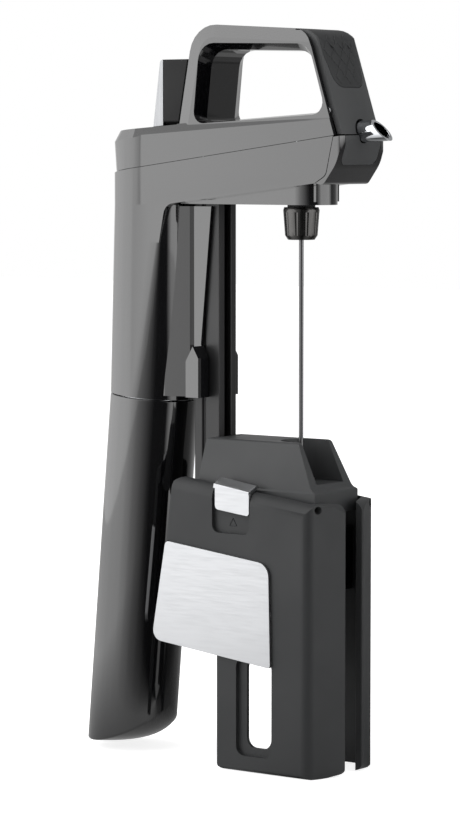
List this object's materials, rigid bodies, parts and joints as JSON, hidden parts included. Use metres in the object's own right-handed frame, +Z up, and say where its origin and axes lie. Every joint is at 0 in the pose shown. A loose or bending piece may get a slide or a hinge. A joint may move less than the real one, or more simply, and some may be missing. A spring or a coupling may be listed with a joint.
{
  "type": "wine preservation dispenser",
  "caption": "Hand-held wine dispenser: handle with trigger, spout, needle, leaning gas-capsule cup and a sliding clamp with two spring jaws for the bottle neck.",
  "frame": {"origin": "on the needle axis, 3.2 mm above the underside of the clamp bridge that the bottle's lip meets, in the bore of the needle guide", "axes": "+Z up along the needle, away from the bottle; +X forwards to the spout; +Y to the user's left when the spout points away from the user"},
  "size_m": [0.1158, 0.0384, 0.2353],
  "materials": {
    "gloss_black": "gloss",
    "soft_grey": "matte",
    "bridge_grey": "matte",
    "dark_rail": "satin",
    "silver_plate": "satin",
    "chrome_spout": "polished",
    "dark_metal": "satin",
    "steel": "satin",
    "brass": "satin",
    "rubber": "matte",
    "clear_tube": "satin",
    "natural_plastic": "satin"
  },
  "bodies": {
    "clamp": {"clamp_bridge": "bridge_grey", "rail_runner": "natural_plastic", "needle_guide": "natural_plastic", "jaw_pins": "steel", "jaw_springs": "steel", "clamp_screws": "steel"},
    "head": {"lower_housing": "gloss_black", "upper_housing_right": "gloss_black", "upper_housing_left": "gloss_black", "nose_cap": "gloss_black", "nose_panel": "soft_grey", "trigger_pin": "steel", "trigger_spring": "steel", "spout": "chrome_spout", "spout_seal": "rubber", "needle_manifold": "gloss_black", "valve_spring": "steel", "gas_tube": "clear_tube", "wine_tube": "clear_tube", "guide_rail": "dark_rail", "rail_shroud": "gloss_black", "spine_plate": "soft_grey", "spine_trim": "silver_plate", "housing_screws": "steel", "regulator_body": "steel", "regulator_piston": "brass", "regulator_spring": "steel", "piercing_pin": "steel", "capsule_seal": "rubber", "thread_collar": "steel", "needle_seal": "rubber"},
    "trigger_lever": {"trigger": "soft_grey", "trigger_pad": "rubber"},
    "valve": {"valve_stem": "brass"},
    "needle_unit": {"needle_nut": "dark_metal", "needle": "steel"},
    "cup": {"capsule_cup": "gloss_black", "gas_capsule": "steel", "capsule_cushion": "rubber"},
    "right_jaw": {"jaw_right": "soft_grey", "wing_plate_right": "silver_plate", "grip_pad_right": "rubber"},
    "left_jaw": {"jaw_left": "soft_grey", "wing_plate_left": "silver_plate", "grip_pad_left": "rubber"},
    "right_latch": {"latch_tab_right": "silver_plate"},
    "left_latch": {"latch_tab_left": "silver_plate"}
  },
  "joints": [
    {"name": "head_slide", "type": "slide", "parent": "clamp", "child": "head", "axis": [0, 0, 1], "range_m": [-0.062, 0]},
    {"name": "trigger_pivot", "type": "hinge", "parent": "head", "child": "trigger_lever", "pos_m": [0.0176, 0, 0.1216], "axis": [0, 1, 0], "range_deg": [-2.5, 0], "stiffness_Nm_per_rad": 0.6, "springref_deg": 0.57, "deforming": ["trigger_spring"]},
    {"name": "valve_stroke", "type": "slide", "parent": "head", "child": "valve", "axis": [0, 0, 1], "range_m": [-0.0008, 0], "deforming": ["valve_spring"]},
    {"name": "needle_thread", "type": "hinge", "parent": "head", "child": "needle_unit", "pos_m": [0, 0, 0.09], "axis": [0, 0, 1], "continuous": true},
    {"name": "cup_thread", "type": "hinge", "parent": "head", "child": "cup", "pos_m": [-0.0584, 0, 0.026], "axis": [0.0854, 0, 0.9963], "continuous": true},
    {"name": "right_jaw_hinge", "type": "hinge", "parent": "clamp", "child": "right_jaw", "pos_m": [0, -0.0146, -0.002], "axis": [-1, 0, 0], "range_deg": [0, 12], "stiffness_Nm_per_rad": 0.25, "springref_deg": -17.19},
    {"name": "left_jaw_hinge", "type": "hinge", "parent": "clamp", "child": "left_jaw", "pos_m": [0, 0.0146, -0.002], "axis": [1, 0, 0], "range_deg": [0, 12], "stiffness_Nm_per_rad": 0.25, "springref_deg": -17.19},
    {"name": "right_latch_slide", "type": "slide", "parent": "right_jaw", "child": "right_latch", "axis": [0, 0, 1], "range_m": [0, 0.0012]},
    {"name": "left_latch_slide", "type": "slide", "parent": "left_jaw", "child": "left_latch", "axis": [0, 0, 1], "range_m": [0, 0.0012]}
  ],
  "couplings": [
    {"joint": "valve_stroke", "follows": "trigger_pivot", "m_per_rad": 0.0143}
  ]
}
